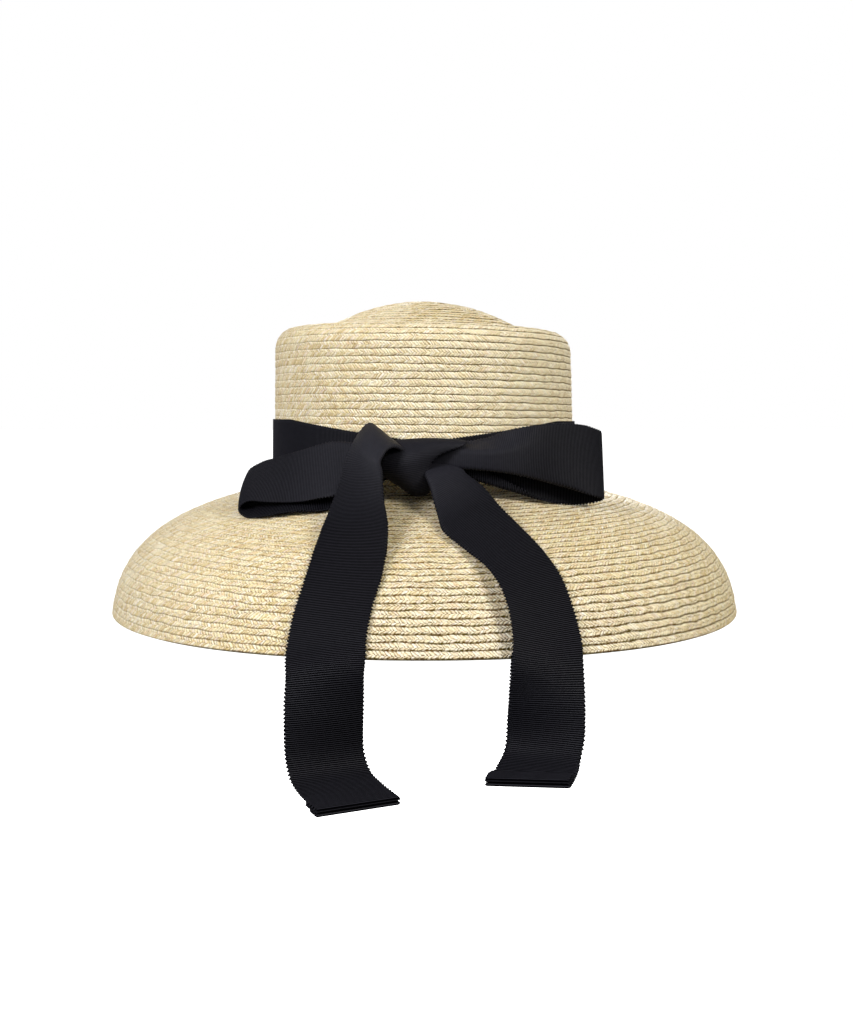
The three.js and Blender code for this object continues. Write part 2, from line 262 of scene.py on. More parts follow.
def makeStraw(name, finish):
    look = strawLook
    material, start = newMaterial(name)
    braid = start.node("Attribute", {"attribute_name": "braid"}, out="Vector")
    along = start.node("SeparateXYZ", {}, {0: braid}, out="X")
    across = along.other("Y")
    opennessAndShade = along.other("Z")

    def drift(pattern, detail=1.0):
        begins, size = look["drifts"][pattern]
        return (along + begins).blotches(size, detail)

    # strands of the two leans, counted along the row
    usualGape, meetShift = look["meetGape"]
    meet = look["meet"] + (drift("meet") - 0.5) * look["meetDrift"] + (opennessAndShade - usualGape) * meetShift
    fromMiddle = across - meet
    lower = fromMiddle > 0
    leant = along + abs(fromMiddle) * look["slant"]
    uneven = drift("wobble") + drift("wobbleFine") * look["wobbleFine"]
    shifted = leant + uneven * look["wobble"]
    phase = shifted / finish["strandPitch"] + lower * 0.5
    strand = phase.floor()
    bow = abs(phase - strand - 0.5) * 2  # 0 on a strand's middle, 1 between two strands
    pair = start.node("CombineXYZ", {}, {"X": strand, "Y": lower})
    chance = start.node("TexWhiteNoise", {"noise_dimensions": "2D"}, {"Vector": pair}, out="Value")
    second = start.node("SeparateXYZ", {}, {0: chance.other("Color")}, out="Y")  # another chance

    # colour by strand, by patches that follow the lean and by long stretches of braid
    leaning = (leant + lower * look["patchStep"]) / finish["patch"]
    patch = leaning.blotches(look["patchSize"])
    byStrand, byPatch, byStretch, least = look["toneShares"]
    tone = chance * byStrand + patch * byPatch + drift("stretch") * byStretch + least
    straw = start.node("ValToRGB", {"stops": look["tones"]}, {"Fac": tone})
    for colour, begins, size, low, share in look["tints"]:
        tint = (leaning + begins).blotches(size).ease(low, look["tintFull"])
        straw = mixColours(tint * share, straw, colour)

    # a painted highlight (gleam) on the row's upper half, pale and dark fibres, and bleached straw
    gleam = across.ease(*look["gleamAcross"]) * (1 - bow)
    straw = mixColours(gleam * look["gleamShare"], straw, look["gleam"])
    fibre = start.node("CombineXYZ", {}, {"X": shifted / look["grain"], "Y": across * look["grainRows"]})
    fine = {"Vector": fibre, "Scale": 1.0, "Detail": 1.0}
    grain = start.node("TexNoise", {"noise_dimensions": "2D"}, fine)
    straw = mixColours(grain.ease(*look["grainPale"]) * finish["pale"], straw, look["gleam"])
    darkGrain = grain.ease(*look["grainDark"]) * (opennessAndShade + look["darkLeast"])
    straw = mixColours(darkGrain * finish["dark"], straw, look["shade"])
    worn = opennessAndShade.ease(finish["wornFrom"], look["wornFull"])
    worn = worn * opennessAndShade.ease(finish["wornTo"] + look["wornFade"], finish["wornTo"])
    straw = mixColours(worn * finish["wornShare"], straw, finish["worn"])

    # painted shade between strands, and dots of painted shade in the pits where the two leans meet
    least = look["seamLeast"]
    seam = bow.ease(*look["seamBow"]) * (drift("seam").ease(*look["seamBlotch"]) * (1 - least) + least)
    flecks = second.ease(*look["fleckChance"]) * bow.ease(*look["fleckBow"]) * look["fleckShare"]
    straw = mixColours(seam * finish["seam"] + flecks, straw, look["shade"])
    dots = abs(fromMiddle + look["dotShift"]).ease(*look["dotAcross"])
    dots = dots * bow.ease(*look["dotBow"]) * second.ease(*look["dotChance"])
    straw = mixColours(dots * opennessAndShade * finish["dots"], straw, look["pitShade"])
    low = across.ease(*look["lowAcross"]) * opennessAndShade
    straw = mixColours(low * look["lowShare"], straw, look["shade"])

    # painted shade in uneven toothed grooves between rows
    fromEdge = across.maths("MINIMUM", 1 - across)
    unevenReach = drift("edge", look["edgeDetail"]) * look["edgeSpread"] * finish["edge"]
    reach = (unevenReach + bow * bow * finish["tooth"]) * opennessAndShade
    groove = (fromEdge / reach).ease(*look["groove"])
    rusty = drift("grooveShade").ease(*look["grooveShadeBlotch"]) * finish["redShade"]
    grooveShade = mixColours(rusty, look["oliveShade"], look["redShade"])
    least = look["brokenLeast"]
    broken = drift("broken").ease(*look["brokenBlotch"]) * (1 - least) + least
    straw = mixColours(groove * broken * opennessAndShade, straw, grooveShade)

    rounded = (1 - bow * bow) * (1 - dots * look["dotDepth"])
    height = rounded * look["strandHeight"] + chance * look["strandStep"]
    bump = start.node("Bump", {}, {"Height": height, "Strength": 1.0, "Distance": look["relief"]})
    dull, smoother, rougher = look["roughness"]
    shader = start.node("BsdfPrincipled", {}, {
        "Base Color": straw,
        "Roughness": dull - tone * smoother + groove * rougher,
        "Normal": bump,
        "Specular IOR Level": look["specular"],
    })
    start.node("OutputMaterial", {}, {"Surface": shader})
    return material


# Grosgrain: near-black, its ribs are in the mesh. The cloth attribute holds ribs counted, mm across and the
# share of the full rib relief, which also sets how much painted shade darkens the cloth between ribs.
grosgrainLook = {
    "ridge": (0.0164, 0.0162, 0.0214),
    # painted shade between the ribs, and the dark of the cloth's blotches
    "valley": (0.0007, 0.0007, 0.0010),
    "ribShape": (-0.15, 1.0),
    "threadPitch": 0.32,  # mm
    "threadHeight": 0.5,
    "cloudScale": 0.35,
    "cloudBlotch": (0.3, 0.75),
    "cloudShare": 0.12,
    "relief": 0.05 * mm,
    "reliefStrength": 0.5,
    "roughness": 0.48,
    "specular": 0.1,
}


def makeGrosgrain():
    look = grosgrainLook
    material, start = newMaterial("grosgrain")
    cloth = start.node("Attribute", {"attribute_name": "cloth"}, out="Vector")
    counted = start.node("SeparateXYZ", {}, {0: cloth}, out="X")
    across = counted.other("Y")
    wave = (counted * fullTurn).maths("COSINE").ease(*look["ribShape"])
    rib = 1 - (1 - wave) * counted.other("Z")  # 1 on a rib, less between ribs, where painted shade darkens the cloth
    thread = (across * (fullTurn / look["threadPitch"])).maths("SINE")
    cloud = {"Vector": cloth, "Scale": look["cloudScale"], "Detail": 3.0}
    cloudy = start.node("TexNoise", {"noise_dimensions": "2D"}, cloud)
    black = mixColours(cloudy.ease(*look["cloudBlotch"]) * look["cloudShare"], look["ridge"], look["valley"])
    bump = start.node("Bump", {}, {
        "Height": thread * look["threadHeight"] + cloudy,
        "Strength": look["reliefStrength"],
        "Distance": look["relief"],
    })
    crest = start.node("BsdfPrincipled", {}, {
        "Base Color": black,
        "Roughness": look["roughness"],
        "Normal": bump,
        "Specular IOR Level": look["specular"],
    })
    # painted shade: plain near-black cloth between the ribs
    hollow = start.node("BsdfDiffuse", {}, {"Color": (*look["valley"], 1)})
    shader = start.node("MixShader", {}, {0: rib, 1: hollow, 2: crest})
    start.node("OutputMaterial", {}, {"Surface": shader})
    return material


crownBraid = makeStraw("crown_straw", crownStraw)
brimBraid = makeStraw("brim_straw", brimStraw)
grosgrain = makeGrosgrain()
print("materials mixed")


# Meshes: points in mm, corners holds one vector for each face corner, under the given attribute name
def addPiece(name, points, faces, corners, attribute, material):
    mesh = bpy.data.meshes.new(name)
    mesh.from_pydata((points * mm).tolist(), [], faces)
    layer = mesh.attributes.new(attribute, "FLOAT_VECTOR", "CORNER")
    layer.data.foreach_set("vector", np.asarray(corners, np.float32).ravel())
    mesh.shade_smooth()
    mesh.materials.append(material)
    piece = bpy.data.objects.new(name, mesh)
    bpy.context.scene.collection.objects.link(piece)
    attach(piece, "root")
    return piece


# Drops repeated corners, so that the tapering ends of a row close with triangles
def closeFaces(quads, corners):
    faces = []
    kept = []
    for quad, values in zip(quads.tolist(), corners):
        use = [k for k in range(4) if quad[k] != quad[k - 1]]
        if len(use) > 2:
            faces.append([quad[k] for k in use])
            kept.extend(values[k] for k in use)
    return faces, kept


# Distance walked along a line of points, from 0
def walked(points):
    return np.concatenate([[0], np.cumsum(np.linalg.norm(np.diff(points, axis=0), axis=1))])


# Slow random wandering of a value along a length, from a few waves (mm) with seeded strengths and phases
def wander(length, waves, seed):
    draw = np.random.default_rng(seed)
    total = np.zeros_like(length)
    for wave in waves:
        strength = draw.uniform(0.6, 1.0)
        total += strength * np.sin(fullTurn * (length / wave + draw.uniform()))
    return total / len(waves)


# 0 below 0, 1 above 1, smooth between them
def smooth(value):
    value = np.clip(value, 0, 1)
    return value * value * (3 - 2 * value)


# Value at each place in a table of (place, value) rows
def readTable(table, places):
    return np.interp(places, *np.array(table).T)


# Braid: rows of straw sewn on a spiral, each row a rounded strip with a groove along both edges
braidRows = {
    "jog": 0.25,  # share of a turn, at the back, where a row steps down to the next
    "tipTurns": 2,  # turns at the tip that have no jog
    "jogTurns": 12,  # turns after them until it is full
    "outside": [(0.0, -1.0), (0.07, -0.4), (0.2, -0.06), (0.6, 0.0), (0.88, -0.05), (0.955, -0.4)],
    "inside": [(0.0, -1.0), (0.5, 0.0)],  # share across the row, height in depths
    "crest": 0.2,  # mm that the crests stand out of the smooth wall
    "depth": 0.75,  # mm from crest to groove
    "shutDepth": 0.15,  # share of it where the grooves are shut
    "insideDepth": 0.6,
    "wall": 2.0,
    "puff": 0.35,  # mm of uneven thickness
    "waves": [211, 71, 37, 23, 15],
    "calmRows": 2,  # rows at both ends where the seams run straighter
    "rim": (0.3, 0.5),  # place across a row and gape that give the cut rim its colour
}


# Where the edge between two rows lies, in rows, after so many turns of sewing
def rowEdge(turnsSewn, rows, fromTip):
    whole = np.floor(turnsSewn)
    part = turnsSewn - whole
    jog = smooth((part - 1 + braidRows["jog"]) / braidRows["jog"])
    level = np.clip((whole - braidRows["tipTurns"]) / braidRows["jogTurns"], 0, 1) if fromTip else 1
    return np.clip(whole + part + (jog - part) * level, 0, rows)


# One face of a sewn wall. place gives points and normals for lengths down the wall and turns round
# the head. Two neighbouring rows share the points of the seam between them.
def sewRows(place, shape, pitch, fromTip, section, lift, depth, seed):
    rows, steps = shape["rows"], shape["steps"]
    first = 0 if fromTip else int(steps * (1 - braidRows["jog"]))
    last = steps * (rows + 1)
    index = np.arange(first, last + steps + 1)
    turn = fullTurn * index / steps - math.pi + math.pi * braidRows["jog"]
    edge = rowEdge(index / steps - 1, rows, fromTip)
    along = walked(place(edge * pitch, turn)[0])
    loose = np.clip(np.minimum(edge, rows - edge) / braidRows["calmRows"], 0, 1)
    edge = edge + shape["waver"] * loose * wander(along, braidRows["waves"], seed)
    puff = braidRows["puff"] * wander(along, braidRows["waves"], seed + 1)
    degrees = (np.degrees(turn) + 180) % 360 - 180
    # how wide the grooves gape round the head, which also sets how much painted shade they get
    gapeAndShade = readTable(shape["gapeAndShade"], degrees) * readTable(shape["gapeDown"], edge / rows)
    shut = braidRows["shutDepth"]
    deep = depth * (shut + (1 - shut) * gapeAndShade)

    count = last - first + 1
    low = edge[:count]
    high = edge[steps:steps + count]
    full = np.clip(high - low, 0, 1)
    points = []
    for column, (share, height) in enumerate(section):
        across = edge if column == 0 else low + (high - low) * share
        size = len(across)
        spot, normal = place(across * pitch, turn[:size])
        raised = lift + deep[:size] * height * (1 if column == 0 else full) + puff[:size] * (1 + height)
        points.append(spot + normal * raised[:, None])
    seams = len(points[0])
    numbers = [np.arange(seams)] + [seams + k * count + np.arange(count) for k in range(len(section) - 1)]

    # the row's thin ends meet its own edge, and at the tip all starts at one point
    same = np.arange(seams + (len(section) - 1) * count)
    if fromTip:
        same[:steps + 1] = 0
    same[steps] = 0
    same[seams - 1] = count - 1
    for column in numbers[1:]:
        same[column[0]] = 0
        same[column[-1]] = count - 1
    quads = []
    corners = []
    shares = [share for share, height in section] + [1.0]
    for k in range(len(section)):
        near = numbers[k][:count]
        far = numbers[k + 1] if k + 1 < len(section) else numbers[0][steps:steps + count]
        quads.append(np.stack([near[:-1], far[:-1], far[1:], near[1:]], 1))
        spans = [along[:count - 1], along[:count - 1], along[1:count], along[1:count]]
        sides = [shares[k], shares[k + 1], shares[k + 1], shares[k]]
        gapes = [gapeAndShade[:count - 1], gapeAndShade[:count - 1], gapeAndShade[1:count], gapeAndShade[1:count]]
        values = [np.stack([a, np.full_like(a, b), c], 1) for a, b, c in zip(spans, sides, gapes)]
        corners.append(np.stack(values, 1))
    quads = same[np.concatenate(quads)]
    footRing = same[count - 1 + np.arange(steps)]
    headRing = same[np.arange(steps)]
    return np.concatenate(points), quads, np.concatenate(corners), headRing, footRing


# Outside and inside of a wall, joined along the foot and, for an open wall, along the head too
def sewWall(name, node, place, length, shape, fromTip, material):
    pitch = length / shape["rows"]
    crest = braidRows["crest"]
    outer = sewRows(place, shape, pitch, fromTip, braidRows["outside"], crest,
                    braidRows["depth"], shape["seed"])
    inner = sewRows(place, shape, pitch, fromTip, braidRows["inside"], -braidRows["wall"] - crest,
                    -braidRows["insideDepth"], shape["seed"] + 10)
    offset = len(outer[0])
    points = np.concatenate([outer[0], inner[0]])
    rims = []
    ringOut, ringIn = outer[4], inner[4] + offset
    rims.append(np.stack([ringOut, ringIn, np.roll(ringIn, -1), np.roll(ringOut, -1)], 1))
    if not fromTip:
        ringOut, ringIn = outer[3], inner[3] + offset
        rims.append(np.stack([ringOut, np.roll(ringOut, -1), np.roll(ringIn, -1), ringIn], 1))
    rims = np.concatenate(rims)
    rimCorners = np.zeros((len(rims), 4, 3))
    rimCorners[:, :, 0] = np.arange(len(rims))[:, None] + np.array([0, 0, 1, 1])
    rimCorners[:, :, 1:] = braidRows["rim"]
    quads = np.concatenate([outer[1], inner[1][:, ::-1] + offset, rims])
    corners = np.concatenate([outer[2], inner[2][:, ::-1], rimCorners])
    faces, kept = closeFaces(quads, corners)
    used = np.unique(np.concatenate([np.asarray(face) for face in faces]))
    renumber = np.full(len(points), -1)
    renumber[used] = np.arange(len(used))
    faces = [[int(renumber[k]) for k in face] for face in faces]
    piece = addPiece(name, points[used], faces, kept, "braid", material)
    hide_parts(node)
    print(name, "sewn:", shape["rows"], "rows,", len(faces), "faces")


# Head oval (mm): turn 0 is the front, a quarter turn is the viewer's right
head = {
    "halfWidth": 91.2,
    "ovalExtra": 6.0,  # how much longer than wide the oval's half is
    "seatGap": 0.3,  # between the crown's foot and the brim
}

crown = {
    "wallTop": 89.2,  # half width at the top of the side
    "rimHeight": 92.7,
    "shoulder": 12.0,  # radius between the side and the flat ring
    "ring": 5.0,  # flat ring inside the shoulder
    "domeRadius": 112.0,
    "domeTop": 110.5,
    "domeAngle": math.radians(29),
    "lean": 0.016,  # fall towards the right, at the rim's height
    "sway": 1.0,  # mm to the left there
    "tipShift": 1.8,  # mm, the domed tip sits a little to the right
    "tipBlend": 30.0,  # mm in from the shoulder over which the shift sets in
    "domePoints": 60,
    "bendPoints": 40,
    "outlinePoints": 1400,
    "rows": 44,
    "steps": 256,  # points in each turn
    "waver": 0.16,  # sideways wandering of the seams, in rows
    "seed": 11,
    "gapeAndShade": [  # degrees round from the front, how wide the grooves gape and how much painted shade they get, little on the lit left
        (-180, 0.7), (-100, 0.2), (-60, 0.36), (-30, 0.66), (-8, 0.95),
        (20, 1), (60, 1.03), (95, 0.9), (180, 0.7),
    ],
    "gapeDown": [(0, 1.2), (0.38, 1.15), (0.48, 0.95), (0.6, 0.9), (1, 0.9)],  # share of the rows, factor
}


# The crown stands a little to the left and lower on its right
def leanCrown(points):
    rise = (points[:, 2] - head["seatGap"]) / crown["rimHeight"]
    moved = points.copy()
    moved[:, 2] -= crown["lean"] * points[:, 0] * rise
    moved[:, 0] -= crown["sway"] * rise
    return moved


# Half outline of the crown from the tip to the foot: dome, hollow, flat ring, shoulder and side
def crownOutline():
    angle = np.linspace(0, crown["domeAngle"], crown["domePoints"])
    centre = crown["domeTop"] - crown["domeRadius"]
    dome = np.stack([crown["domeRadius"] * np.sin(angle), centre + crown["domeRadius"] * np.cos(angle)], 1)
    ringEnd = crown["wallTop"] - crown["shoulder"]
    level = crown["rimHeight"]
    foot = dome[-1]
    control = np.array([foot[0] + (foot[1] - level) / math.tan(crown["domeAngle"]), level])
    ringStart = np.array([ringEnd - crown["ring"], level])
    share = np.linspace(0, 1, crown["bendPoints"])[1:, None]
    hollow = (1 - share) ** 2 * foot + 2 * share * (1 - share) * control + share ** 2 * ringStart
    bend = np.linspace(math.pi / 2, 0, crown["bendPoints"])
    shoulder = np.stack([ringEnd + crown["shoulder"] * np.cos(bend),
                         level - crown["shoulder"] + crown["shoulder"] * np.sin(bend)], 1)
    side = np.array([[head["halfWidth"], head["seatGap"]]])
    return np.concatenate([dome, hollow, shoulder, side])


def makeCrown():
    outline = crownOutline()
    travel = walked(outline)
    even = np.linspace(0, travel[-1], crown["outlinePoints"])
    outline = np.stack([np.interp(even, travel, outline[:, k]) for k in range(2)], 1)
    slope = np.gradient(outline, even, axis=0)
    stretch = 1 + head["ovalExtra"] / head["halfWidth"]
    ringEnd = crown["wallTop"] - crown["shoulder"]

    def place(down, turn):
        reach, height, out, fall = (np.interp(down, even, row) for row in (*outline.T, *slope.T))
        around = np.stack([np.sin(turn), -np.cos(turn) * stretch], 1)
        spot = np.concatenate([around * reach[:, None], height[:, None]], 1)
        spot[:, 0] += crown["tipShift"] * smooth((ringEnd - reach) / crown["tipBlend"])
        normal = np.stack([-fall * np.sin(turn), fall * np.cos(turn), out], 1)
        return leanCrown(spot), normal

    sewWall("crown_braid", "crown", place, travel[-1], crown, True, crownBraid)


brim = {
    "length": 129.0,
    "seat": 2.0,  # mm that the brim reaches in under the crown
    "slopes": [  # share of the way out, degrees below level at the sides, and at the front and back
        (0.0, 10, 20),
        (0.25, 17, 21),
        (0.45, 26, 25),
        (0.6, 38, 35),
        (0.75, 55, 47),
        (0.9, 76, 52),
        (1.0, 86, 52),
    ],
    "outPoints": 520,  # places worked out along the brim, and from the sides to the front
    "roundPoints": 65,
    "rows": 31,
    "steps": 352,
    "waver": 0.27,
    "seed": 31,
    # degrees round from the front, how wide the grooves gape and how much painted shade they get
    "gapeAndShade": [
        (-180, 0.7), (-100, 0.2), (-60, 0.36), (-30, 0.66), (-8, 0.95),
        (20, 1), (50, 0.86), (75, 0.55), (100, 0.4), (180, 0.7),
    ],
    "gapeDown": [(0, 1), (0.2, 0.95), (0.4, 0.85), (1, 1.1)],
}


def makeBrim():
    share, side, front = np.array(brim["slopes"]).T
    fine = np.linspace(0, 1, brim["outPoints"])
    blend = np.linspace(0, 1, brim["roundPoints"])[:, None]  # 0 at the sides, 1 at the front and back
    slope = np.radians(np.interp(fine, share, side) * (1 - blend) + np.interp(fine, share, front) * blend)
    middle = (slope[:, 1:] + slope[:, :-1]) / 2
    stride = brim["length"] / (len(fine) - 1)
    start = np.zeros((len(blend), 1))
    reach = np.concatenate([start, np.cumsum(np.cos(middle) * stride, axis=1)], 1)
    drop = np.concatenate([start, np.cumsum(np.sin(middle) * stride, axis=1)], 1)

    # value of a grid by how far out (mm) and how near to the front or back
    def readGrid(grid, out, near):
        i = np.clip(out / brim["length"], 0, 1) * (len(fine) - 1)
        j = near * (len(blend) - 1)
        i0 = np.minimum(i.astype(int), len(fine) - 2)
        j0 = np.minimum(j.astype(int), len(blend) - 2)
        u, v = i - i0, j - j0
        low = grid[j0, i0] * (1 - u) + grid[j0, i0 + 1] * u
        high = grid[j0 + 1, i0] * (1 - u) + grid[j0 + 1, i0 + 1] * u
        return low * (1 - v) + high * v

    def place(down, turn):
        out = down - brim["seat"]
        near = np.cos(turn) ** 2
        width = head["halfWidth"] + np.where(out < 0, out, readGrid(reach, out, near))
        height = -readGrid(drop, out, near)
        tilt = readGrid(slope, out, near) * (out > 0)
        spot = np.stack([width * np.sin(turn), -(width + head["ovalExtra"]) * np.cos(turn), height], 1)
        normal = np.stack([np.sin(tilt) * np.sin(turn), -np.sin(tilt) * np.cos(turn), np.cos(tilt)], 1)
        return spot, normal

    sewWall("brim_braid", "brim", place, brim["length"] + brim["seat"], brim, False, brimBraid)


makeCrown()
makeBrim()

# Ribbon (mm): grosgrain with its ribs and toothed selvedges in the mesh
ribbon = {
    "width": 38.0,
    "thick": 0.6,
    "ribPitch": 0.96,
    "ribSteps": 3,  # points along each rib's pitch
    "ribHeight": 0.4,
    "scallop": 0.25,  # teeth along both selvedges
    "toothPitch": 1.85,
    "curvePoints": 3001,
    "crowding": 0.25,  # how much closer the columns of points lie at the selvedges
    "roll": (1.4, 0.8),  # radius where a gathered edge turns under, on either side
    "pile": 0.06,  # how far the rolled cloth sinks for each mm of it
}


# Smooth curve through evenly spaced values, t from 0 to 1
def onCurve(values, t):
    values = np.asarray(values, float)
    last = len(values) - 1
    i = np.minimum((t * last).astype(int), last - 1)
    w = t * last - i
    before, here = values[np.maximum(i - 1, 0)], values[i]
    after, beyond = values[i + 1], values[np.minimum(i + 2, last)]
    leave, arrive = (after - before) / 2, (beyond - here) / 2
    cubic = 2 * here - 2 * after + leave + arrive
    square = 3 * after - 3 * here - 2 * leave - arrive
    return ((cubic * w + square) * w + leave) * w + here


def unit(vectors):
    return vectors / np.maximum(np.linalg.norm(vectors, axis=-1, keepdims=True), 1e-9)


# Places across the ribbon from -1 to 1, closer together at the selvedges
def acrossRibbon(columns):
    even = np.linspace(-1, 1, columns)
    return even * (1 + ribbon["crowding"] - ribbon["crowding"] * even * even)


def selvedge(ribPhase):
    return ribbon["scallop"] * np.cos(fullTurn * ribPhase * ribbon["ribPitch"] / ribbon["toothPitch"])


# Closed cloth round a sheet of points (steps along, columns across). It may go all the way round.
def weave(name, node, sheet, ribPhase, relief, goesRound=False):
    if goesRound:
        padded = np.concatenate([sheet[-1:], sheet, sheet[:1]])
        lengthwise = (padded[2:] - padded[:-2]) / 2
    else:
        lengthwise = np.gradient(sheet, axis=0)
    normal = unit(np.cross(lengthwise, np.gradient(sheet, axis=1)))
    rib = ribbon["ribHeight"] / 2 * relief * np.cos(fullTurn * ribPhase)
    half = (ribbon["thick"] / 2 + rib)[:, None, None]
    steps, columns = sheet.shape[:2]
    loops = np.concatenate([sheet + normal * half, (sheet - normal * half)[:, ::-1]], 1)
    count = 2 * columns
    points = loops.reshape(-1, 3)
    here = np.arange(steps if goesRound else steps - 1)[:, None] * count
    there = (here + count) % len(points)
    ring = np.arange(count)[None, :]
    after = (ring + 1) % count
    quads = np.stack([here + ring, here + after, there + after, there + ring], 2).reshape(-1, 4)
    if not goesRound:
        j = np.arange(columns - 1)
        back = count - 1 - j
        final = (steps - 1) * count
        caps = [np.stack([back, back - 1, j + 1, j], 1), np.stack([j, j + 1, back - 1, back], 1) + final]
        quads = np.concatenate([quads] + caps)

    # faces point outwards when the volume that they enclose is above 0
    a, b, c, d = (points[quads[:, k]] for k in range(4))
    volume = np.einsum("ij,ij->", a, np.cross(b, c)) + np.einsum("ij,ij->", a, np.cross(c, d))
    if volume < 0:
        quads = quads[:, ::-1]
    spread = acrossRibbon(columns) * ribbon["width"] / 2
    cloth = np.zeros((steps, count, 3))
    cloth[:, :, 0] = ribPhase[:, None]
    cloth[:, :, 1] = np.concatenate([spread, spread[::-1]])
    cloth[:, :, 2] = relief[:, None]
    corners = cloth.reshape(-1, 3)[quads]
    piece = addPiece(name, points, quads.tolist(), corners, "cloth", grosgrain)
    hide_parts(node)
    print(name, "woven:", len(quads), "faces")


# Creases near the knot: the cloth beyond one leans back from it, and it fades out along the ribbon
def foldCloth(folds, t, side):
    total = np.zeros_like(side)
    for fold in folds:
        share = (t - fold["from"]) / (fold["to"] - fold["from"])
        inside = (share >= 0) & (share <= 1)
        share = np.clip(share, 0, 1)
        fade = np.where(inside, np.sin(math.pi * share ** fold["early"]) ** 2, 0)
        centre = onCurve(fold["path"], share)[:, None]
        gap = (side - centre) / fold["width"]
        form = np.where(gap < -1, 0, np.where(gap > 1, gap, (gap + 1) ** 2 / 4)) * fold["width"]
        total -= fold["lean"] * fade[:, None] * form
    return total


# Turned end: the cloth goes back and forth in layers, one under the other, as (onward, down) in mm
def hemLine(hem):
    stride = ribbon["ribPitch"] / ribbon["ribSteps"]
    radius = hem["radius"]
    bend = np.linspace(0, math.pi, max(4, round(math.pi * radius / stride)) + 1)[1:]
    run = np.arange(1, round(hem["length"] / stride) + 1) * stride
    points = []
    onward, down, way = 0.0, 0.0, 1
    for layer in range(hem["layers"]):
        for angle in bend:
            points.append((onward + way * radius * math.sin(angle), down + radius * (1 - math.cos(angle))))
        down += 2 * radius
        way = -way
        reach = run if layer < hem["layers"] - 1 else run[:round(len(run) * hem["rawEnd"])]
        for distance in reach:
            points.append((onward + way * distance, down))
        onward += way * reach[-1]
    return np.array(points)


# A strip of ribbon along a table of sections: x, y, z, slant, turn, spread, bulge
def layRibbon(name, node, design):
    rows = np.array(design["rows"], float)
    fine = np.linspace(0, 1, ribbon["curvePoints"])
    travel = walked(np.stack([onCurve(rows[:, k], fine) for k in range(3)], 1))
    ribs = round(travel[-1] / ribbon["ribPitch"])
    steps = ribs * ribbon["ribSteps"]
    t = np.interp(np.linspace(0, travel[-1], steps + 1), travel, fine)
    middle = np.stack([onCurve(rows[:, k], t) for k in range(3)], 1)
    slant, turn = (np.radians(onCurve(rows[:, k], t)) for k in (3, 4))
    spread, bulge = (onCurve(rows[:, k], t) for k in (5, 6))
    heading = unit(np.gradient(middle, axis=0))
    across = np.stack([np.cos(turn) * np.cos(slant), -np.sin(turn), np.cos(turn) * np.sin(slant)], 1)
    face = unit(np.cross(heading, across)) * design.get("outward", 1)
    flat = acrossRibbon(design["columns"]) * ribbon["width"] / 2
    half = (ribbon["width"] / 2 * spread)[:, None]
    inside = np.clip(flat / half, -1, 1)
    lift = bulge[:, None] * (1 - inside ** 2) + foldCloth(design.get("folds", []), t, inside)

    # the width that the knot draws in is rolled under along both edges, to and fro where it is long
    excess = np.maximum(np.abs(flat) - half, 0)
    radius = np.where(flat < 0, *ribbon["roll"])
    angle = np.minimum(excess / radius, math.pi)
    run = excess - radius * angle
    folded = 2 * half - np.abs(run % (4 * half) - 2 * half)
    ribPhase = np.arange(steps + 1) / ribbon["ribSteps"]
    place = np.minimum(np.abs(flat), half) + radius * np.sin(angle) - folded
    place = place + selvedge(ribPhase)[:, None] * (excess > 0)
    lift = lift - radius * (1 - np.cos(angle)) - run * ribbon["pile"]
    sideways = across[:, None] * (np.sign(flat) * place)[..., None]
    sheet = middle[:, None] + sideways + face[:, None] * lift[..., None]
    relief = readTable(design["relief"], t)

    hem = design.get("hem")
    if hem:
        line = hemLine(hem)
        onward = heading[-1] * line[:, :1]
        down = -face[-1] * hem["side"] * line[:, 1:]
        sheet = np.concatenate([sheet, sheet[-1] + (onward + down)[:, None]])
        ribPhase = np.arange(len(sheet)) / ribbon["ribSteps"]
        relief = np.concatenate([relief, np.full(len(line), relief[-1])])
    scallop = selvedge(ribPhase)[:, None]
    edgeway = unit(sheet[:, -1] - sheet[:, 0])
    sheet[:, 0] -= edgeway * scallop
    sheet[:, -1] += edgeway * scallop
    weave(name, node, sheet, ribPhase, relief)


# Band: drawn round the foot of the crown and narrowed by gathers towards the knot
band = {
    "gap": 0.7,  # mm off the crown
    "foot": 1.2,  # height of the lower edge
    "dip": 11.5,  # mm that the upper edge falls, and the lower edge lifts, at the knot
    "lift": 18.0,
    "gather": math.radians(24),  # how far round from the front the gathers reach
    "slopes": math.radians(56),  # how far round from the front the upper edge starts to slope down
    "slopeCurve": 1.1,
    "pleats": 2.5,  # from one edge to the other
    "pleatDepth": 1.1,
    "relief": 0.75,
    "columns": 15,
    "held": "stretched",
    "restsOn": ["crown_braid"],
}


